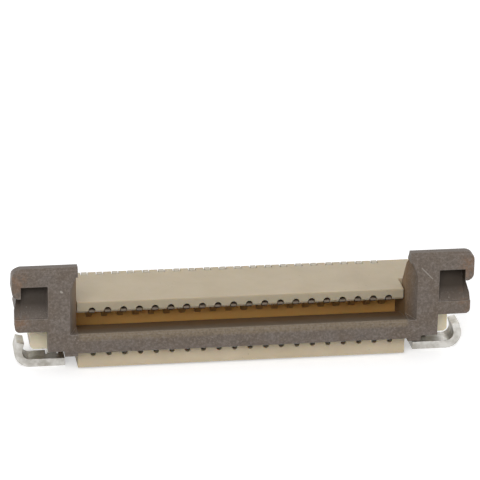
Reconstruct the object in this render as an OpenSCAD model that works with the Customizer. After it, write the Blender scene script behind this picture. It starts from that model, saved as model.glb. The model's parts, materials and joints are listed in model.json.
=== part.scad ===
// Right-angle surface-mount connector for a flat flexible cable, 1.00 mm pitch,
// with a pull-out slider that clamps the cable against the contacts.
// X runs along the row of contacts, the cable goes in along +Y, and +Z points away
// from the circuit board. Z = 0 is the board's surface. The slider is drawn pulled
// out, ready for the cable, and Y = 0 is the middle of the outline in that state.

/* [Contacts] */
// Number of contacts
contact_count = 20; // [4:1:30]
// Distance between neighbouring contacts
contact_pitch = 1.00; // [1.00:0.05:1.25]
// Thickness of the contact sheet
contact_thick = 0.36; // [0.30:0.02:0.40]
// Length of a solder tail behind the housing
tail_length = 0.55; // [0.30:0.05:1.20]

/* [Housing] */
// Height of the housing's top above the board
housing_height = 4.30; // [4.10:0.05:5.00]
// Depth of the housing's floor, front lip to rear face
housing_depth = 5.85; // [5.60:0.05:6.40]
// Depth of the top wall, front edge to rear face
roof_depth = 5.15; // [4.80:0.05:5.30]
// Thickness of the top wall
roof_thick = 0.74; // [0.60:0.02:0.80]
// Height of the floor's upper face above the board
floor_top = 1.20; // [1.10:0.02:1.25]
// Gap between the housing and the board
standoff = 0.18; // [0.05:0.01:0.24]

/* [Slider] */
// Travel of the slider between open and closed
slider_travel = 0.90; // [0.50:0.05:0.95]
// Distance of the slider's front from the housing's rear face when open
slider_reach = 6.70; // [6.70:0.05:7.20]
// Height of the ears above the board
ear_height = 7.25; // [6.80:0.05:8.00]
// Height of the bar's lower edge above the board
bar_bottom = 1.49; // [1.40:0.01:1.60]
// Height of the bar
bar_height = 1.27; // [1.00:0.01:1.40]

/* [Solder nails] */
// Thickness of the nail strip
nail_thick = 0.50; // [0.40:0.02:0.56]
// Width of the nail strip
nail_width = 1.45; // [1.20:0.05:1.50]
// Outer radius of the curled end
curl_radius = 1.00; // [0.80:0.05:1.10]

/* [Hidden] */
$fn = 48;
eps = 0.01;

// Contact row and mouth
row_width = contact_count * contact_pitch;
mouth_half = row_width / 2 + 0.50;
rear_y = (slider_reach - tail_length) / 2;
roof_under = housing_height - roof_thick;

// Rear wall and end cheeks
rear_wall_depth = 1.40;
rear_wall_half = mouth_half + 1.25;
cheek_inner = mouth_half + 1.80;
cheek_outer = mouth_half + 2.90;
cheek_depth = 5.00;
cheek_bottom = 1.22;
channel_inner = mouth_half - 0.05;
channel_outer = mouth_half + 0.90;
socket_floor = 2.90;

// Floor plate outline: narrow between the arms, wider near the rear wall
lip_half = mouth_half - 0.03;
wide_floor = 2.00;
floor_half = mouth_half + 0.90;

// Contact slots
slot_beam = contact_thick + 0.08;
slot_rear = contact_thick + 0.12;
slot_tip = contact_thick + 0.10;
spine_deep = 0.45;
throat_depth = 1.05;
throat_low = 1.23;
throat_high = 2.90;
bump_depth = 2.90;
bump_under = 2.42;
lip_groove = 4.95;

// Slider
bar_thick = 0.75;
tongue_back = 3.00;
tongue_tip = 2.20;
bar_top = bar_bottom + bar_height;
arm_inner = mouth_half + 0.02;
arm_outer = mouth_half + 0.84;
arm_top = 3.50;
foot_bottom = 1.28;
arm_back = rear_wall_depth + slider_travel + 0.15;
ear_outer = mouth_half + 4.12;
ear_bottom = 3.07;
ear_deck = housing_height + 0.12;
ear_top_depth = 0.60;
ear_foot_depth = 4.30;
gap_depth = ear_foot_depth - slider_travel - 0.08;
plate_outer = mouth_half + 1.90;
recess_low = 3.94;
recess_high = 6.06;
hook_lobe = 0.55;
lobe_drop = 5.30;
stop_reach = 0.45;
lead_wide = 0.50;
lead_deep = 1.30;

// Solder nails
nail_front = 4.95;
nail_back = nail_front - nail_width;
flat_end = mouth_half + 0.71;
leg_inner = channel_outer + 0.25;
leg_outer = channel_outer + 0.85;
leg_top = 3.55;
leg_shoulder = 0.10;
bend_inner = 0.15;
curl_x = channel_outer + 2.00;
curl_tip_angle = 15;
curl_tip_length = 0.45;

function contact_name(i) = str("contact_", i < 10 ? "0" : "", i);
function contact_x(i) = (i - (contact_count + 1) / 2) * contact_pitch;
// A point of a lengthwise section: depth from the rear face, height above the board
function at(depth, z) = [rear_y - depth, z];
// Points along an arc, n + 1 of them, from angle a0 to a1
function arc(x, y, r, a0, a1, n = 8) = [for (k = [0 : n])
    [x + r * cos(a0 + (a1 - a0) * k / n), y + r * sin(a0 + (a1 - a0) * k / n)]];

// Solid from x0 to x1 whose section in Y and Z is the 2D child
module along_x(x0, x1) {
    translate([x0, 0, 0]) rotate([90, 0, 90]) linear_extrude(x1 - x0) children();
}

// Solid from depth d0 to the greater depth d1 whose outline in X and Z is the child
module along_y(d0, d1) {
    translate([0, rear_y - d0, 0]) rotate([90, 0, 0]) linear_extrude(d1 - d0) children();
}

// Box by its X range, depth range from the rear face and Z range
module block(x0, x1, d0, d1, z0, z1) {
    translate([x0, rear_y - d1, z0]) cube([x1 - x0, d1 - d0, z1 - z0]);
}

module both_ends() {
    children();
    mirror([1, 0, 0]) children();
}

// ---------------------------------------------------------------- housing

module floor_plate() {
    block(-lip_half, lip_half, 0, housing_depth, standoff, floor_top);
    block(-floor_half, floor_half, 0, wide_floor, standoff, floor_top);
}

module roof() {
    along_x(-channel_inner, channel_inner) polygon([
        at(0, roof_under), at(roof_depth - 0.15, roof_under), at(roof_depth, roof_under + 0.15),
        at(roof_depth, housing_height - 0.06), at(roof_depth - 0.06, housing_height),
        at(0, housing_height)
    ]);
    block(-cheek_inner - eps, cheek_inner + eps, rear_wall_depth - eps, gap_depth,
        roof_under, housing_height);
}

module rear_wall() {
    along_x(-rear_wall_half, rear_wall_half) polygon([
        at(0, standoff + 0.15), at(0.15, standoff), at(rear_wall_depth, standoff),
        at(rear_wall_depth, housing_height), at(0, housing_height)
    ]);
}

// End cheek with its socket block for the nail and the flange at the rear
module cheek() {
    along_y(rear_wall_depth, cheek_depth) polygon([
        [cheek_inner, cheek_bottom], [cheek_outer - 0.22, cheek_bottom],
        [cheek_outer, cheek_bottom + 0.16], [cheek_outer, housing_height - 0.10],
        [cheek_outer - 0.10, housing_height], [channel_outer, housing_height],
        [channel_outer, socket_floor], [cheek_inner, socket_floor]
    ]);
    along_y(0, rear_wall_depth) polygon([
        [rear_wall_half - 0.50, 0.80], [rear_wall_half + 0.42, 0.80],
        [cheek_outer - 0.12, 2.45], [cheek_outer, 2.60],
        [cheek_outer, housing_height - 0.10], [cheek_outer - 0.10, housing_height],
        [rear_wall_half - 0.50, housing_height]
    ]);
}

module nail_socket() {
    block(leg_inner + leg_shoulder, leg_outer - leg_shoulder, nail_back,
        nail_back + nail_thick, socket_floor - eps, leg_top + 0.05);
}

// Everything that one contact needs cut out of the housing
module contact_slot(x) {
    h = contact_thick / 2;
    // press-fit stretch in the rear wall; a web stays between the beams
    block(x - h, x + h, spine_deep, throat_depth, 0.50, roof_under + 0.24);
    block(x - h, x + h, throat_depth - eps, rear_wall_depth + eps, 0.50, throat_low - 0.02);
    block(x - h, x + h, throat_depth - eps, rear_wall_depth + eps, throat_high + 0.02,
        roof_under + 0.24);
    // open slot in the rear face, with the spine against its bottom
    block(x - slot_rear / 2, x + slot_rear / 2, -eps, spine_deep, standoff - eps,
        housing_height + eps);
    // groove in the floor, open on top, shallow near the lip and round in its face
    block(x - slot_beam / 2, x + slot_beam / 2, rear_wall_depth, lip_groove,
        0.74, floor_top + eps);
    block(x - slot_beam / 2, x + slot_beam / 2, lip_groove - eps, housing_depth - 0.15,
        0.93, floor_top + eps);
    translate([x, 0, 1.10]) along_y(housing_depth - 0.15 - eps, housing_depth + eps)
        circle(r = 0.17);
    // groove under the top wall, wider and arched where the tip moves
    block(x - slot_beam / 2, x + slot_beam / 2, rear_wall_depth, roof_depth - 0.60,
        roof_under - eps, roof_under + 0.30);
    block(x - slot_tip / 2, x + slot_tip / 2, roof_depth - 0.90, roof_depth + eps,
        roof_under - eps, roof_under + 0.14);
    translate([x, 0, roof_under + 0.14]) along_y(roof_depth - 0.90, roof_depth + eps)
        circle(d = slot_tip);
}

// Round ejector mark on the board side
module ejector_pip() {
    translate([0.8, rear_y - 2.0, standoff - 0.04]) cylinder(r = 0.35, h = 0.10);
}

module housing() {
    color([0.87, 0.82, 0.69]) difference() {
        union() {
            floor_plate();
            roof();
            rear_wall();
            both_ends() cheek();
            ejector_pip();
        }
        both_ends() nail_socket();
        for (i = [1 : contact_count]) contact_slot(contact_x(i));
    }
}

// --------------------------------------------------------------- contacts

// Stamped fork: solder tail, spine with a small notch, sprung upper beam, lower beam
module contact_profile() {
    tip = roof_depth - 0.05;
    spine_top = housing_height + 0.03;
    tail_and_spine = [
        [spine_deep, 0.20], [0.25, 0], [-tail_length, 0], [-tail_length, 0.22],
        [-tail_length + 0.12, 0.34], [-0.10, 0.36], [0.02, 0.50], [0.02, 1.98],
        [0.10, 2.06], [0.10, 2.22], [-0.02, 2.32], [-0.02, spine_top - 0.09],
        [0.04, spine_top], [spine_deep - 0.05, spine_top], [spine_deep, spine_top - 0.05]
    ];
    upper_beam = concat(
        [[spine_deep, roof_under + 0.22], [1.50, roof_under + 0.22],
            [bump_depth - 0.16, bump_under + 0.42], [bump_depth + 0.16, bump_under + 0.42],
            [4.20, 3.74], [tip - 0.10, 3.78], [tip, 3.70], [tip, 3.58], [tip - 0.10, 3.50],
            [4.30, 3.46]],
        arc(bump_depth, bump_under + 0.28, 0.28, 315, 225, 6)
    );
    throat = concat(
        arc(throat_depth + 0.25, throat_high + 0.25, 0.25, 90, 180, 4),
        arc(throat_depth + 0.14, throat_low, 0.14, 180, 270, 3)
    );
    lower_beam = [
        [lip_groove - 0.15, throat_low - 0.14], [housing_depth - 0.32, 1.14],
        [housing_depth - 0.18, 1.06], [housing_depth - 0.32, 0.97], [lip_groove - 0.10, 0.96],
        [lip_groove - 0.35, 0.80], [1.32, 0.80], [1.05, 0.50], [spine_deep + 0.12, 0.50],
        [spine_deep, 0.62]
    ];
    polygon([for (p = concat(tail_and_spine, upper_beam, throat, lower_beam))
        at(p[0], p[1])]);
}

module contact(i) {
    color([0.80, 0.81, 0.84]) along_x(contact_x(i) - contact_thick / 2,
        contact_x(i) + contact_thick / 2) contact_profile();
}

// ----------------------------------------------------------- solder nails

// Strip bent about (x, z), from angle a0 up to a1, with inner radius r
module bend(x, z, r, a0, a1) {
    far = 4 * (r + nail_thick);
    translate([x, z]) intersection() {
        difference() {
            circle(r = r + nail_thick);
            circle(r = r);
        }
        polygon([[0, 0], far * [cos(a0), sin(a0)],
            far * [cos((a0 + a1) / 2), sin((a0 + a1) / 2)], far * [cos(a1), sin(a1)]]);
    }
}

// Flat on the board with its free inner end, and the curled outer end
module nail_strip() {
    translate([flat_end, 0]) square([curl_x - flat_end, nail_thick]);
    bend(curl_x, curl_radius, curl_radius - nail_thick, -90, curl_tip_angle);
    translate([curl_x, curl_radius]) rotate(curl_tip_angle)
        translate([curl_radius - nail_thick, 0]) square([nail_thick, curl_tip_length]);
}

// Leg bent up from the flat's rear edge
module nail_leg() {
    bend_y = rear_y - nail_back - nail_thick - bend_inner;
    along_x(leg_inner, leg_outer) {
        translate([bend_y - 0.05, 0]) square([0.05, nail_thick]);
        bend(bend_y, nail_thick + bend_inner, bend_inner, -90, 0);
        translate([bend_y + bend_inner, nail_thick + bend_inner])
            square([nail_thick, socket_floor - 0.30 - nail_thick - bend_inner]);
    }
}

module solder_nail() {
    color([0.82, 0.83, 0.84]) {
        difference() {
            along_y(nail_back, nail_front) nail_strip();
            block(leg_inner - leg_shoulder, leg_outer + leg_shoulder, nail_back - eps,
                nail_back + nail_thick + bend_inner, -eps, nail_thick + eps);
        }
        nail_leg();
        block(leg_inner + leg_shoulder, leg_outer - leg_shoulder, nail_back,
            nail_back + nail_thick, socket_floor - 0.40, leg_top);
    }
}

module solder_nail_left() {
    mirror([1, 0, 0]) solder_nail();
}

module solder_nail_right() {
    solder_nail();
}

// ----------------------------------------------------------------- slider

// Bar across the mouth with the wedge tongue that presses the cable up
module bar_and_tongue() {
    front = slider_reach;
    along_x(-arm_inner - eps, arm_inner + eps) polygon([
        at(front, bar_bottom + 0.05), at(front - 0.05, bar_bottom),
        at(front - bar_thick, bar_bottom), at(front - bar_thick, bar_bottom + 0.08),
        at(front - tongue_back + 0.10, 1.72), at(front - tongue_back, 1.82),
        at(front - tongue_back, tongue_tip - 0.08), at(front - tongue_back + 0.08, tongue_tip),
        at(front - 0.45, bar_top - 0.06), at(front - 0.20, bar_top),
        at(front - 0.12, bar_top), at(front, bar_top - 0.14)
    ]);
}

// Guide arm at one end: it runs under the top wall, and its front carries the ear
module arm() {
    front = slider_reach;
    along_x(arm_inner, arm_outer) polygon([
        at(front, bar_bottom + 0.10), at(front - 0.10, bar_bottom - 0.10),
        at(front - bar_thick, bar_bottom - 0.10), at(front - bar_thick - 0.15, 1.68),
        at(arm_back + 0.15, 1.68), at(arm_back, 1.83), at(arm_back, arm_top - 0.15),
        at(arm_back + 0.15, arm_top), at(ear_foot_depth, arm_top),
        at(ear_foot_depth, ear_deck + 0.15), at(front - ear_top_depth, ear_height - 0.05),
        at(front - ear_top_depth - 0.05, ear_height), at(front - 0.16, ear_height),
        at(front, ear_height - 0.16)
    ]);
    // foot in front of the floor's lip
    along_x(arm_inner, arm_outer) polygon([
        at(front - 0.04, bar_bottom + 0.20), at(front - 0.10, foot_bottom),
        at(front - bar_thick + 0.05, foot_bottom), at(front - bar_thick, bar_bottom + 0.20)
    ]);
    // stop that catches on the nail's leg
    block(arm_outer - eps, arm_outer + stop_reach, 2.95, 3.30, 1.90, 2.70);
}

module ear_outline() {
    top = 0.55;
    hook = 0.45;
    foot = 0.30;
    waist = ear_outer - 0.16;
    polygon(concat(
        [[arm_inner + 0.10, bar_bottom + 0.19], [plate_outer, bar_bottom + 0.19],
            [plate_outer, ear_bottom]],
        arc(waist - foot, ear_bottom + foot, foot, -90, 0, 4),
        [[waist, recess_low + 0.40], [ear_outer - 0.38, lobe_drop - 0.08]],
        arc(ear_outer - hook, lobe_drop + hook, hook, -75, 0, 5),
        arc(ear_outer - top, ear_height - top, top, 0, 90, 6),
        [[arm_inner + 0.10, ear_height]]
    ));
}

module ear_section() {
    front = slider_reach;
    polygon([
        at(front, bar_bottom + 0.19), at(front - bar_thick, bar_bottom + 0.19),
        at(front - bar_thick, ear_deck), at(ear_foot_depth, ear_deck),
        at(ear_foot_depth, ear_deck + 0.15), at(front - ear_top_depth, ear_height - 0.05),
        at(front - ear_top_depth - 0.05, ear_height), at(front - 0.16, ear_height),
        at(front, ear_height - 0.16)
    ]);
}

// Finger recess: deep under the hook, running out towards the bottom
module finger_recess() {
    front = slider_reach;
    floor_low = at(front - 0.14, recess_low);
    along_x(plate_outer, ear_outer - hook_lobe) polygon([
        at(front + 1, recess_low), floor_low, at(front - 1.05, recess_high - 0.12),
        at(front - 0.90, recess_high), at(front + 1, recess_high)
    ]);
    along_x(ear_outer - hook_lobe - eps, ear_outer + 1) polygon([
        at(front + 1, recess_low), floor_low, at(front - 0.98, lobe_drop - 0.12),
        at(front - 0.85, lobe_drop), at(front + 1, lobe_drop)
    ]);
}

// Sloping lead-in for the cable's edge, beside the mouth, run out towards the top
module lead_in() {
    front_y = rear_y - slider_reach;
    intersection() {
        translate([0, 0, bar_top]) linear_extrude(ear_height) polygon([
            [arm_inner - 1, front_y - 1], [arm_inner + lead_wide, front_y - 1],
            [arm_inner + lead_wide, front_y], [arm_inner - eps, front_y + lead_deep],
            [arm_inner - 1, front_y + lead_deep]
        ]);
        along_y(slider_reach - 2, slider_reach + 2) polygon([
            [arm_inner - 1, 0], [arm_inner + lead_wide + eps, 0],
            [arm_inner + lead_wide + eps, 5.70], [arm_inner + 0.12, 6.60], [arm_inner - 1, 6.60]
        ]);
    }
}

// Shallow round gate mark in the lower edge of the bar
module gate_mark(x) {
    translate([x, rear_y - slider_reach + 0.07, bar_bottom - 0.05])
        rotate([90, 0, 0]) cylinder(r = 0.42, h = 1);
}

module slider() {
    color([0.42, 0.38, 0.35]) difference() {
        union() {
            bar_and_tongue();
            both_ends() {
                arm();
                intersection() {
                    along_y(0, slider_reach + 1) ear_outline();
                    along_x(arm_inner, ear_outer + 1) ear_section();
                }
            }
        }
        both_ends() {
            finger_recess();
            lead_in();
        }
        for (k = [-1 : 1]) gate_mark(k * row_width * 0.375);
    }
}

// ------------------------------------------------------------------ parts

housing();
slider();
solder_nail_left();
solder_nail_right();
for (i = [1 : contact_count]) contact(i);
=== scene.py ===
# Looks for a 20-way flat cable connector: moulded nylon housing, resin slider, tinned contacts
import json
from math import radians, sin, cos

import bpy
from mathutils import Matrix, Vector

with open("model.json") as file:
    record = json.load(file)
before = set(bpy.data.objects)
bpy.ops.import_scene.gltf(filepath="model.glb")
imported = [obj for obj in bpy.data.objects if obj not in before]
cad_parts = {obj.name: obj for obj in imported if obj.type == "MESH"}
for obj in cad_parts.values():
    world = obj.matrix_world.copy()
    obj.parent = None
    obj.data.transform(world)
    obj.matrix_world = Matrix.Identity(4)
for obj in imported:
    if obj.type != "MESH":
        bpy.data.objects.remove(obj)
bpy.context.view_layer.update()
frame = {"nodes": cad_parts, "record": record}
print("frame loaded:", len(frame["nodes"]), "pieces")

# ---- camera, in degrees and metres
cameraSetup = {
    "azimuth": -9.0,
    "elevation": 22.0,
    "roll": 0.9,          # turns the picture clockwise
    "distance": 0.180,
    "pictureWidth": 0.03087,   # what the picture spans at that distance
    "target": (0.0, 0.000575, 0.0025),
    "aimRight": 0.00026,   # the aim lies this far right of the target and above it
    "aimUp": 0.00428,
}


def makeCamera(setup):
    a, e = radians(setup["azimuth"]), radians(setup["elevation"])
    back = Vector((sin(a) * cos(e), -cos(a) * cos(e), sin(e)))
    right = Vector((cos(a), sin(a), 0))
    up = back.cross(right)
    turn = Matrix.Rotation(radians(-setup["roll"]), 3, -back)
    data = bpy.data.cameras.new("camera")
    data.sensor_width = 36
    data.lens = 36 * setup["distance"] / setup["pictureWidth"]
    data.clip_start, data.clip_end = 0.01, 10
    camera = bpy.data.objects.new("camera", data)
    place = Vector(setup["target"]) + back * setup["distance"]
    aim = Vector(setup["target"]) + right * setup["aimRight"] + up * setup["aimUp"]
    look = (aim - place).normalized()
    side = look.cross(turn @ up).normalized()
    upright = side.cross(look)
    camera.matrix_world = Matrix((
        (side.x, upright.x, -look.x, place.x),
        (side.y, upright.y, -look.y, place.y),
        (side.z, upright.z, -look.z, place.z),
        (0, 0, 0, 1)))
    bpy.context.collection.objects.link(camera)
    bpy.context.scene.camera = camera


makeCamera(cameraSetup)
print("camera placed")

# ---- stage: pale floor, soft lamps, plain surroundings
stageSetup = {
    "floorSize": 1.2,
    "floorColour": (0.80, 0.80, 0.80),
    "floorRoughness": 0.9,
    "floorSpecular": 0.1,
    "floorGlow": 0.45,       # added only where it is seen, so the open floor reads white
    "worldColour": (0.975, 0.98, 1.0),
    "worldStrength": 0.42,
    "lampAim": (0.0, 0.0, 0.002),
}
lampSetup = {              # place, size, watts
    "keyLamp": ((-0.15, -0.38, 0.26), 0.24, 1.38),
    "fillLamp": ((0.34, -0.24, 0.15), 0.26, 0.45),
    "rimLamp": ((0.05, 0.26, 0.34), 0.18, 0.32),
}


# 1 for what the camera sees straight, in a reflection or through glass, 0 for light that falls
# on the object
def addSeen(tree):
    path = tree.nodes.new("ShaderNodeLightPath")
    seen = path.outputs["Is Camera Ray"]
    for ray in ("Is Glossy Ray", "Is Transmission Ray"):
        most = tree.nodes.new("ShaderNodeMath")
        most.operation = "MAXIMUM"
        tree.links.new(seen, most.inputs[0])
        tree.links.new(path.outputs[ray], most.inputs[1])
        seen = most.outputs[0]
    return seen


def makeStage(setup, lamps):
    half = setup["floorSize"] / 2
    mesh = bpy.data.meshes.new("floor")
    mesh.from_pydata([(-half, -half, 0), (half, -half, 0), (half, half, 0), (-half, half, 0)],
                     [], [(0, 1, 2, 3)])
    floor = bpy.data.objects.new("floor", mesh)
    bpy.context.collection.objects.link(floor)
    material = bpy.data.materials.new("paleFloor")
    material.use_nodes = True
    tree = material.node_tree
    shader = tree.nodes["Principled BSDF"]
    shader.inputs["Base Color"].default_value = (*setup["floorColour"], 1)
    shader.inputs["Roughness"].default_value = setup["floorRoughness"]
    shader.inputs["Specular IOR Level"].default_value = setup["floorSpecular"]
    glow = tree.nodes.new("ShaderNodeEmission")
    glow.inputs["Color"].default_value = (1, 1, 1, 1)
    strength = tree.nodes.new("ShaderNodeMath")
    strength.operation = "MULTIPLY"
    strength.inputs[1].default_value = setup["floorGlow"]
    both = tree.nodes.new("ShaderNodeAddShader")
    tree.links.new(addSeen(tree), strength.inputs[0])
    tree.links.new(strength.outputs[0], glow.inputs["Strength"])
    tree.links.new(shader.outputs[0], both.inputs[0])
    tree.links.new(glow.outputs[0], both.inputs[1])
    tree.links.new(both.outputs[0], tree.nodes["Material Output"].inputs["Surface"])
    floor.data.materials.append(material)

    for name, (place, size, watts) in lamps.items():
        data = bpy.data.lights.new(name, "AREA")
        data.shape, data.size, data.energy = "SQUARE", size, watts
        lamp = bpy.data.objects.new(name, data)
        lamp.location = place
        aim = Vector(setup["lampAim"]) - Vector(place)
        lamp.rotation_euler = aim.to_track_quat("-Z", "Y").to_euler()
        bpy.context.collection.objects.link(lamp)

    world = bpy.data.worlds.new("surroundings")
    bpy.context.scene.world = world
    world.use_nodes = True
    tree = world.node_tree
    soft = tree.nodes["Background"]
    soft.inputs["Color"].default_value = (*setup["worldColour"], 1)
    soft.inputs["Strength"].default_value = setup["worldStrength"]
    white = tree.nodes.new("ShaderNodeBackground")
    white.inputs["Color"].default_value = (1, 1, 1, 1)
    white.inputs["Strength"].default_value = 1
    mix = tree.nodes.new("ShaderNodeMixShader")
    tree.links.new(addSeen(tree), mix.inputs[0])
    tree.links.new(soft.outputs[0], mix.inputs[1])
    tree.links.new(white.outputs[0], mix.inputs[2])
    tree.links.new(mix.outputs[0], tree.nodes["World Output"].inputs["Surface"])


makeStage(stageSetup, lampSetup)
bpy.context.scene.view_settings.view_transform = "Standard"
print("floor, lamps and surroundings made")

# ---- shader groups


def newGroup(name, inputs, outputs):
    group = bpy.data.node_groups.new(name, "ShaderNodeTree")
    for label, kind, value in inputs:
        socket = group.interface.new_socket(name=label, in_out="INPUT", socket_type=kind)
        if value is not None:
            socket.default_value = value
    for label, kind in outputs:
        group.interface.new_socket(name=label, in_out="OUTPUT", socket_type=kind)
    return group, group.nodes.new("NodeGroupInput"), group.nodes.new("NodeGroupOutput")


def addMath(tree, operation, a, b=None, clamp=False):
    node = tree.nodes.new("ShaderNodeMath")
    node.operation = operation
    node.use_clamp = clamp
    for socket, value in zip(node.inputs, (a, b)):
        if isinstance(value, (int, float)):
            socket.default_value = value
        elif value is not None:
            tree.links.new(value, socket)
    return node.outputs[0]


def addNoise(tree, vector, scale, detail=3.0, roughness=0.5):
    node = tree.nodes.new("ShaderNodeTexNoise")
    node.inputs["Detail"].default_value = detail
    node.inputs["Roughness"].default_value = roughness
    tree.links.new(vector, node.inputs["Vector"])
    if isinstance(scale, (int, float)):
        node.inputs["Scale"].default_value = scale
    else:
        tree.links.new(scale, node.inputs["Scale"])
    return node.outputs["Fac"]


def addRange(tree, value, low, high, toLow=0.0, toHigh=1.0):
    node = tree.nodes.new("ShaderNodeMapRange")
    node.inputs["From Min"].default_value = low
    node.inputs["From Max"].default_value = high
    node.inputs["To Min"].default_value = toLow
    node.inputs["To Max"].default_value = toHigh
    tree.links.new(value, node.inputs["Value"])
    return node.outputs["Result"]


def addMix(tree, factor, a, b):
    node = tree.nodes.new("ShaderNodeMix")
    node.data_type = "RGBA"
    for socket, value in ((node.inputs[0], factor), (node.inputs[6], a), (node.inputs[7], b)):
        if isinstance(value, tuple):
            socket.default_value = (*value, 1)
        elif isinstance(value, (int, float)):
            socket.default_value = value
        else:
            tree.links.new(value, socket)
    return node.outputs[2]


# Rounded edges: the bevelled normal, and a mask of how far it leans from the true one,
# stronger where the edge faces up, a painted highlight from light above
def makeEdgeGroup():
    group, start, end = newGroup(
        "softEdges", [("Radius", "NodeSocketFloat", 0.00005)],
        [("Normal", "NodeSocketVector"), ("Edge", "NodeSocketFloat")])
    bevel = group.nodes.new("ShaderNodeBevel")
    bevel.samples = 8
    group.links.new(start.outputs["Radius"], bevel.inputs["Radius"])
    shape = group.nodes.new("ShaderNodeNewGeometry")
    dot = group.nodes.new("ShaderNodeVectorMath")
    dot.operation = "DOT_PRODUCT"
    group.links.new(bevel.outputs[0], dot.inputs[0])
    group.links.new(shape.outputs["Normal"], dot.inputs[1])
    lean = addRange(group, dot.outputs["Value"], 0.995, 0.80)
    apart = group.nodes.new("ShaderNodeSeparateXYZ")
    group.links.new(bevel.outputs[0], apart.inputs[0])
    rubAndHighlight = addRange(group, apart.outputs["Z"], -0.2, 0.5, 0.3, 1.0)
    group.links.new(bevel.outputs[0], end.inputs["Normal"])
    group.links.new(addMath(group, "MULTIPLY", lean, rubAndHighlight), end.inputs["Edge"])
    return group


# Moulded surface: broad cloudy patches, fine spark-eroded grain, sparse dark specks
def makeMouldGroup():
    group, start, end = newGroup(
        "mouldedSkin",
        [("Vector", "NodeSocketVector", None), ("Patch Scale", "NodeSocketFloat", 900.0),
         ("Grain Scale", "NodeSocketFloat", 14000.0)],
        [("Patches", "NodeSocketFloat"), ("Grain", "NodeSocketFloat"),
         ("Specks", "NodeSocketFloat")])
    vector = start.outputs["Vector"]
    broad = addNoise(group, vector, start.outputs["Patch Scale"], 4, 0.6)
    fine = addNoise(group, vector, start.outputs["Grain Scale"], 3, 0.65)
    cells = group.nodes.new("ShaderNodeTexVoronoi")
    cells.inputs["Scale"].default_value = 3000
    cells.inputs["Randomness"].default_value = 1
    group.links.new(vector, cells.inputs["Vector"])
    speck = addRange(group, cells.outputs["Distance"], 0.16, 0.05)
    rare = addRange(group, addNoise(group, vector, 1100, 1), 0.56, 0.66)
    group.links.new(addRange(group, broad, 0.30, 0.70), end.inputs["Patches"])
    group.links.new(fine, end.inputs["Grain"])
    group.links.new(addMath(group, "MULTIPLY", speck, rare), end.inputs["Specks"])
    return group


# Fine straight scratches: noise stretched a hundredfold along one direction
def makeScratchGroup():
    group, start, end = newGroup(
        "scratches",
        [("Vector", "NodeSocketVector", None), ("Turn", "NodeSocketVector", (0, 0, 0)),
         ("Fineness", "NodeSocketFloat", 9000.0), ("Stretch", "NodeSocketFloat", 0.04)],
        [("Lines", "NodeSocketFloat")])
    turn = group.nodes.new("ShaderNodeVectorRotate")
    turn.rotation_type = "EULER_XYZ"
    group.links.new(start.outputs["Vector"], turn.inputs["Vector"])
    group.links.new(start.outputs["Turn"], turn.inputs["Rotation"])
    thin = group.nodes.new("ShaderNodeCombineXYZ")
    group.links.new(start.outputs["Stretch"], thin.inputs["X"])
    thin.inputs["Y"].default_value = 1
    thin.inputs["Z"].default_value = 1
    scale = group.nodes.new("ShaderNodeVectorMath")
    scale.operation = "MULTIPLY"
    group.links.new(turn.outputs[0], scale.inputs[0])
    group.links.new(thin.outputs[0], scale.inputs[1])
    lines = addNoise(group, scale.outputs[0], start.outputs["Fineness"], 2, 0.6)
    group.links.new(lines, end.inputs["Lines"])
    return group


# Soft-sided region of a piece: 1 between Low and High on each axis, X taken as a distance
# from the middle plane
def makeRegionGroup():
    group, start, end = newGroup(
        "region",
        [("Vector", "NodeSocketVector", None), ("Low", "NodeSocketVector", (0, 0, 0)),
         ("High", "NodeSocketVector", (0, 0, 0)), ("Softness", "NodeSocketFloat", 0.0001)],
        [("Inside", "NodeSocketFloat")])
    parts = []
    for label in ("Vector", "Low", "High"):
        apart = group.nodes.new("ShaderNodeSeparateXYZ")
        group.links.new(start.outputs[label], apart.inputs[0])
        parts.append(apart)
    inside = None
    for axis in "XYZ":
        value = parts[0].outputs[axis]
        if axis == "X":
            value = addMath(group, "ABSOLUTE", value)
        for first, second in ((value, parts[1].outputs[axis]), (parts[2].outputs[axis], value)):
            past = addMath(group, "SUBTRACT", first, second)
            step = addMath(group, "DIVIDE", past, start.outputs["Softness"])
            step = addMath(group, "ADD", step, 0.5, clamp=True)
            inside = step if inside is None else addMath(group, "MULTIPLY", inside, step)
    group.links.new(inside, end.inputs["Inside"])
    return group


# One light line on a piece: 1 within Width of the straight stretch from From to To
def makeMarkGroup():
    group, start, end = newGroup(
        "lightLineMark",
        [("Vector", "NodeSocketVector", None), ("From", "NodeSocketVector", (0, 0, 0)),
         ("To", "NodeSocketVector", (0, 0, 0)), ("Width", "NodeSocketFloat", 0.0001)],
        [("Mark", "NodeSocketFloat")])

    def vectorMath(operation, *inputs):
        node = group.nodes.new("ShaderNodeVectorMath")
        node.operation = operation
        for place, value in inputs:
            group.links.new(value, node.inputs[place])
        return node
    along = vectorMath("SUBTRACT", (0, start.outputs["To"]), (1, start.outputs["From"]))
    reach = vectorMath("SUBTRACT", (0, start.outputs["Vector"]), (1, start.outputs["From"]))
    dot = vectorMath("DOT_PRODUCT", (0, reach.outputs[0]), (1, along.outputs[0]))
    length = vectorMath("DOT_PRODUCT", (0, along.outputs[0]), (1, along.outputs[0]))
    share = addMath(group, "DIVIDE", dot.outputs["Value"], length.outputs["Value"], clamp=True)
    nearest = vectorMath("SCALE", (0, along.outputs[0]), ("Scale", share))
    gap = vectorMath("DISTANCE", (0, reach.outputs[0]), (1, nearest.outputs[0]))
    ratio = addMath(group, "DIVIDE", gap.outputs["Value"], start.outputs["Width"])
    group.links.new(addRange(group, ratio, 1.0, 0.35), end.inputs["Mark"])
    return group


softEdges = makeEdgeGroup()
mouldedSkin = makeMouldGroup()
scratches = makeScratchGroup()
region = makeRegionGroup()
lightLineMark = makeMarkGroup()
print("shader groups made")


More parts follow.
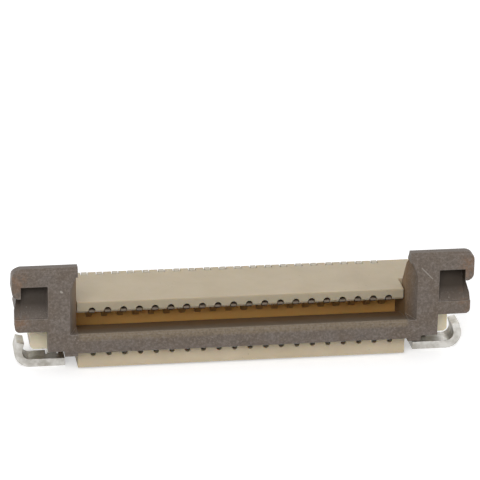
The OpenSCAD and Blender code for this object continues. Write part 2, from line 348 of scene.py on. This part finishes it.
def startMaterial(name):
    material = bpy.data.materials.new(name)
    material.use_nodes = True
    tree = material.node_tree
    place = tree.nodes.new("ShaderNodeTexCoord").outputs["Object"]
    return material, tree, tree.nodes["Principled BSDF"], place


def useGroup(tree, group, **values):
    node = tree.nodes.new("ShaderNodeGroup")
    node.node_tree = group
    for label, value in values.items():
        socket = node.inputs[label.replace("_", " ")]
        if isinstance(value, (int, float, tuple)):
            socket.default_value = value
        else:
            tree.links.new(value, socket)
    return node


def addBump(tree, shader, height, normal, strength, distance):
    bump = tree.nodes.new("ShaderNodeBump")
    bump.inputs["Strength"].default_value = strength
    bump.inputs["Distance"].default_value = distance
    tree.links.new(height, bump.inputs["Height"])
    tree.links.new(normal, bump.inputs["Normal"])
    tree.links.new(bump.outputs[0], shader.inputs["Normal"])


# ---- housing: natural nylon that glows warm where light has passed through it, with a painted glow on the mouth's walls
housingFinish = {
    "colour": (0.512, 0.432, 0.313),
    "cloudColour": (0.460, 0.384, 0.271),
    # painted glow: warm orange on the mouth's walls, standing in for light seen through the
    # nylon
    "paintedMouthGlowColour": (0.660, 0.370, 0.112),
    "speckColour": (0.20, 0.15, 0.09),
    "roughness": (0.52, 0.68),
    "paintedCheekLightColour": (0.700, 0.625, 0.465),    # the end cheeks, lightened: painted light against the shade the ears cast on them
    "patchScale": 420.0,
    "grainScale": 16000.0,
    "speckShare": 0.5,
    "specular": 0.20,
    "glowWeight": 0.30,                      # how much light passes through the nylon
    "glowRadius": (1.0, 0.55, 0.20),
    "glowDepth": 0.0006,
    "edgeRadius": 0.00004,
    "grainHeight": 0.000005,
    "cheekLow": (0.01240, -1.0, -1.0),
    "cheekHigh": (1.0, 1.0, 1.0),
    "mouthLow": (-1.0, -0.00120, 0.00112),   # the mouth's walls, between floor and top wall
    "mouthHigh": (0.01140, 0.00190, 0.00354),
    "paintedBrowShadeColour": (0.335, 0.285, 0.203),     # front face of the top wall, darkened: painted shade
    "browLow": (-1.0, -0.00500, 0.00352),
    "browHigh": (1.0, -0.00203, 0.00500),
}


def makeHousingMaterial(finish):
    material, tree, shader, place = startMaterial("naturalNylon")
    skin = useGroup(tree, mouldedSkin, Vector=place, Patch_Scale=finish["patchScale"],
                    Grain_Scale=finish["grainScale"])
    edges = useGroup(tree, softEdges, Radius=finish["edgeRadius"])
    mouth = useGroup(tree, region, Vector=place, Low=finish["mouthLow"],
                     High=finish["mouthHigh"], Softness=0.00016)
    base = addMix(tree, skin.outputs["Patches"], finish["colour"], finish["cloudColour"])
    cheek = useGroup(tree, region, Vector=place, Low=finish["cheekLow"],
                     High=finish["cheekHigh"], Softness=0.0010)
    # painted glow on the mouth's walls
    base = addMix(tree, mouth.outputs["Inside"], base, finish["paintedMouthGlowColour"])
    brow = useGroup(tree, region, Vector=place, Low=finish["browLow"],
                    High=finish["browHigh"], Softness=0.00004)
    # painted shade on the top wall's front face
    base = addMix(tree, brow.outputs["Inside"], base, finish["paintedBrowShadeColour"])
    # painted light on the end cheeks
    base = addMix(tree, cheek.outputs["Inside"], base, finish["paintedCheekLightColour"])
    specks = addMath(tree, "MULTIPLY", skin.outputs["Specks"], finish["speckShare"])
    base = addMix(tree, specks, base, finish["speckColour"])
    tree.links.new(base, shader.inputs["Base Color"])
    rough = addRange(tree, skin.outputs["Grain"], 0.3, 0.7, *finish["roughness"])
    tree.links.new(rough, shader.inputs["Roughness"])
    shader.inputs["Subsurface Weight"].default_value = finish["glowWeight"]
    shader.inputs["Subsurface Radius"].default_value = finish["glowRadius"]
    shader.inputs["Subsurface Scale"].default_value = finish["glowDepth"]
    shader.inputs["Specular IOR Level"].default_value = finish["specular"]
    addBump(tree, shader, skin.outputs["Grain"], edges.outputs["Normal"], 0.6,
            finish["grainHeight"])
    return material


# ---- slider: grey-brown filled resin with cloudy flow marks, and rubbed edges lightened partly as painted highlight
sliderFinish = {
    "colour": (0.136, 0.114, 0.099),
    "cloudColour": (0.110, 0.082, 0.060),
    # rubbed edges and scratches; on edges facing up this is partly a painted highlight
    "wearAndHighlightColour": (0.270, 0.240, 0.210),
    "grainColour": (0.185, 0.160, 0.140),
    "pitColour": (0.088, 0.072, 0.059),
    "speckColour": (0.34, 0.31, 0.27),
    "paintedRecessShadeColour": (0.024, 0.015, 0.008),     # painted shade inside the finger recesses
    "warmColour": (0.200, 0.112, 0.044),      # faces lit by light from inside the nylon
    "brownPatchColour": (0.178, 0.104, 0.062),      # browner skin near the ears' outer ends
    "ledgeColour": (0.170, 0.130, 0.086),     # upper part of the bar's front
    "roughness": (0.38, 0.58),
    "patchScale": 620.0,
    "grainScale": 7000.0,
    "grainShare": 0.75,
    "speckShare": 0.6,
    "scratchTurn": (0.0, 0.7, 0.0),
    "scratchFineness": 5200.0,
    "scratchShare": 0.22,
    "rubAndHighlightShare": 0.8,
    "specular": 0.24,
    "edgeRadius": 0.00007,
    "grainHeight": 0.000007,
    "warmFrom": -0.0034,                       # Y where the warm light starts and is full
    "warmFull": -0.0019,
    "warmLow": (-1.0, -0.00350, -1.0),
    "warmHigh": (0.01110, 1.0, 0.00660),
    "outerLow": (0.01370, -1.0, 0.00330),
    "outerHigh": (1.0, 1.0, 0.00700),
    "ledgeLow": (-1.0, -1.0, 0.00236),
    "ledgeHigh": (0.01045, 1.0, 0.00300),
    "recessLow": (0.01238, -0.00356, 0.00396),
    "recessHigh": (0.01455, -0.00250, 0.00604),
}
sliderMarks = (     # start, end, width and strength of the light lines laid on the ears
    ((0.01125, -0.003625, 0.00625), (0.01195, -0.003625, 0.00552), 0.00005, 0.5),
    ((-0.01158, -0.003625, 0.00570), (-0.01152, -0.003625, 0.00566), 0.00009, 0.8),
)


def makeSliderMaterial(finish, marks):
    material, tree, shader, place = startMaterial("filledResin")
    skin = useGroup(tree, mouldedSkin, Vector=place, Patch_Scale=finish["patchScale"],
                    Grain_Scale=finish["grainScale"])
    edges = useGroup(tree, softEdges, Radius=finish["edgeRadius"])
    lines = useGroup(tree, scratches, Vector=place, Turn=finish["scratchTurn"],
                     Fineness=finish["scratchFineness"], Stretch=0.05)
    recess = useGroup(tree, region, Vector=place, Low=finish["recessLow"],
                      High=finish["recessHigh"], Softness=0.00010)
    warm = useGroup(tree, region, Vector=place, Low=finish["warmLow"],
                    High=finish["warmHigh"], Softness=0.00012)
    outer = useGroup(tree, region, Vector=place, Low=finish["outerLow"],
                     High=finish["outerHigh"], Softness=0.0006)
    apart = tree.nodes.new("ShaderNodeSeparateXYZ")
    tree.links.new(place, apart.inputs[0])
    base = addMix(tree, skin.outputs["Patches"], finish["colour"], finish["cloudColour"])
    # the light from the nylon gets stronger towards the back
    inward = addRange(tree, apart.outputs["Y"], finish["warmFrom"], finish["warmFull"])
    base = addMix(tree, addMath(tree, "MULTIPLY", warm.outputs["Inside"], inward), base,
                  finish["warmColour"])
    ledge = useGroup(tree, region, Vector=place, Low=finish["ledgeLow"],
                     High=finish["ledgeHigh"], Softness=0.00024)
    front = addMath(tree, "MULTIPLY", addMath(tree, "SUBTRACT", 1.0, inward),
                    ledge.outputs["Inside"])
    base = addMix(tree, front, base, finish["ledgeColour"])
    blotch = addRange(tree, addNoise(tree, place, 1500.0, 4, 0.7), 0.44, 0.60, 0.0, 0.8)
    base = addMix(tree, addMath(tree, "MULTIPLY", outer.outputs["Inside"], blotch), base,
                  finish["brownPatchColour"])
    # painted shade in the recess, darkest under the hook
    depth = addRange(tree, apart.outputs["Z"], 0.0040, 0.0048, 0.35, 1.0)
    dark = addMath(tree, "MULTIPLY", recess.outputs["Inside"], depth)
    base = addMix(tree, dark, base, finish["paintedRecessShadeColour"])
    outsideShade = addMath(tree, "SUBTRACT", 1.0, dark)
    for low, high, tint in ((0.50, 0.70, "grainColour"), (0.50, 0.32, "pitColour")):
        grain = addRange(tree, skin.outputs["Grain"], low, high, 0.0, finish["grainShare"])
        base = addMix(tree, addMath(tree, "MULTIPLY", grain, outsideShade), base, finish[tint])
    worn = addRange(tree, lines.outputs["Lines"], 0.68, 0.80, 0.0, finish["scratchShare"])
    # edge lightening: rubbed wear, plus a painted highlight where edges face up
    rubAndHighlight = addRange(tree, edges.outputs["Edge"], 0.0, 1.0, 0.0, finish["rubAndHighlightShare"])
    for wear in (worn, rubAndHighlight):
        base = addMix(tree, addMath(tree, "MULTIPLY", wear, outsideShade), base, finish["wearAndHighlightColour"])
    specks = addMath(tree, "MULTIPLY", skin.outputs["Specks"], finish["speckShare"])
    base = addMix(tree, specks, base, finish["speckColour"])
    for first, last, width, strength in marks:
        mark = useGroup(tree, lightLineMark, Vector=place, From=first, To=last, Width=width)
        base = addMix(tree, addMath(tree, "MULTIPLY", mark.outputs["Mark"], strength), base,
                      finish["speckColour"])
    tree.links.new(base, shader.inputs["Base Color"])
    rough = addRange(tree, skin.outputs["Grain"], 0.3, 0.7, *finish["roughness"])
    tree.links.new(rough, shader.inputs["Roughness"])
    shader.inputs["Specular IOR Level"].default_value = finish["specular"]
    addBump(tree, shader, skin.outputs["Grain"], edges.outputs["Normal"], 0.6,
            finish["grainHeight"])
    return material


# ---- contacts and nails: dull tin over stamped strip
tinFinish = {
    "contacts": {"colour": (0.50, 0.487, 0.465), "dull": (0.295, 0.277, 0.25),
                 "roughness": (0.34, 0.52), "fineness": 16000.0, "turn": (0.0, 0.0, 1.5708)},
    "nails": {"colour": (0.595, 0.580, 0.548), "dull": (0.315, 0.293, 0.250),
              "roughness": (0.34, 0.56), "fineness": 5200.0, "turn": (0.0, 0.0, 0.0)},
}
mouthGlow = {              # where the contacts mirror the warm nylon around them
    "colour": (0.42, 0.23, 0.075),
    "low": (-1.0, -0.00160, 0.00120),
    "high": (1.0, 0.00200, 0.00346),
    "tipColour": (0.17, 0.140, 0.11),     # the ends, shaded by the slots they lie in
    "tipLow": (-1.0, -0.00400, 0.00330),
    "tipHigh": (1.0, -0.00160, 0.00500),
    "topColour": (0.35, 0.315, 0.255),    # the tops at the housing's rear edge
    "topLow": (-1.0, 0.00220, 0.00415),
    "topHigh": (1.0, 0.00400, 0.00500),
}


def makeTinMaterial(name, finish, glow):
    material, tree, shader, place = startMaterial(name)
    lines = useGroup(tree, scratches, Vector=place, Turn=finish["turn"],
                     Fineness=finish["fineness"], Stretch=0.05)
    edges = useGroup(tree, softEdges, Radius=0.00004)
    cloud = addNoise(tree, place, 1400.0, 3, 0.6)
    dull = addRange(tree, cloud, 0.42, 0.72)
    base = addMix(tree, dull, finish["colour"], finish["dull"])
    if glow:
        inside = useGroup(tree, region, Vector=place, Low=glow["low"], High=glow["high"],
                          Softness=0.0001).outputs["Inside"]
        base = addMix(tree, inside, base, glow["colour"])
        for part in ("tip", "top"):
            end = useGroup(tree, region, Vector=place, Low=glow[part + "Low"],
                           High=glow[part + "High"], Softness=0.0001)
            base = addMix(tree, end.outputs["Inside"], base, glow[part + "Colour"])
        tree.links.new(addRange(tree, inside, 0.0, 1.0, 1.0, 0.1), shader.inputs["Metallic"])
    else:
        shader.inputs["Metallic"].default_value = 1
    tree.links.new(base, shader.inputs["Base Color"])
    rough = addRange(tree, lines.outputs["Lines"], 0.3, 0.7, *finish["roughness"])
    tree.links.new(rough, shader.inputs["Roughness"])
    addBump(tree, shader, lines.outputs["Lines"], edges.outputs["Normal"], 0.25, 0.000002)
    return material


finishes = {
    "housing_nylon": makeHousingMaterial(housingFinish),
    "slider_resin": makeSliderMaterial(sliderFinish, sliderMarks),
    "contact_tin": makeTinMaterial("tinnedContact", tinFinish["contacts"], mouthGlow),
    "nail_tin": makeTinMaterial("tinnedNail", tinFinish["nails"], None),
}
slots = {part["node"]: part["material_slot"] for part in frame["record"]["subparts"]}
for name, piece in frame["nodes"].items():
    piece.data.materials.clear()
    piece.data.materials.append(finishes[slots[name]])
print("finishes put on", len(frame["nodes"]), "pieces")
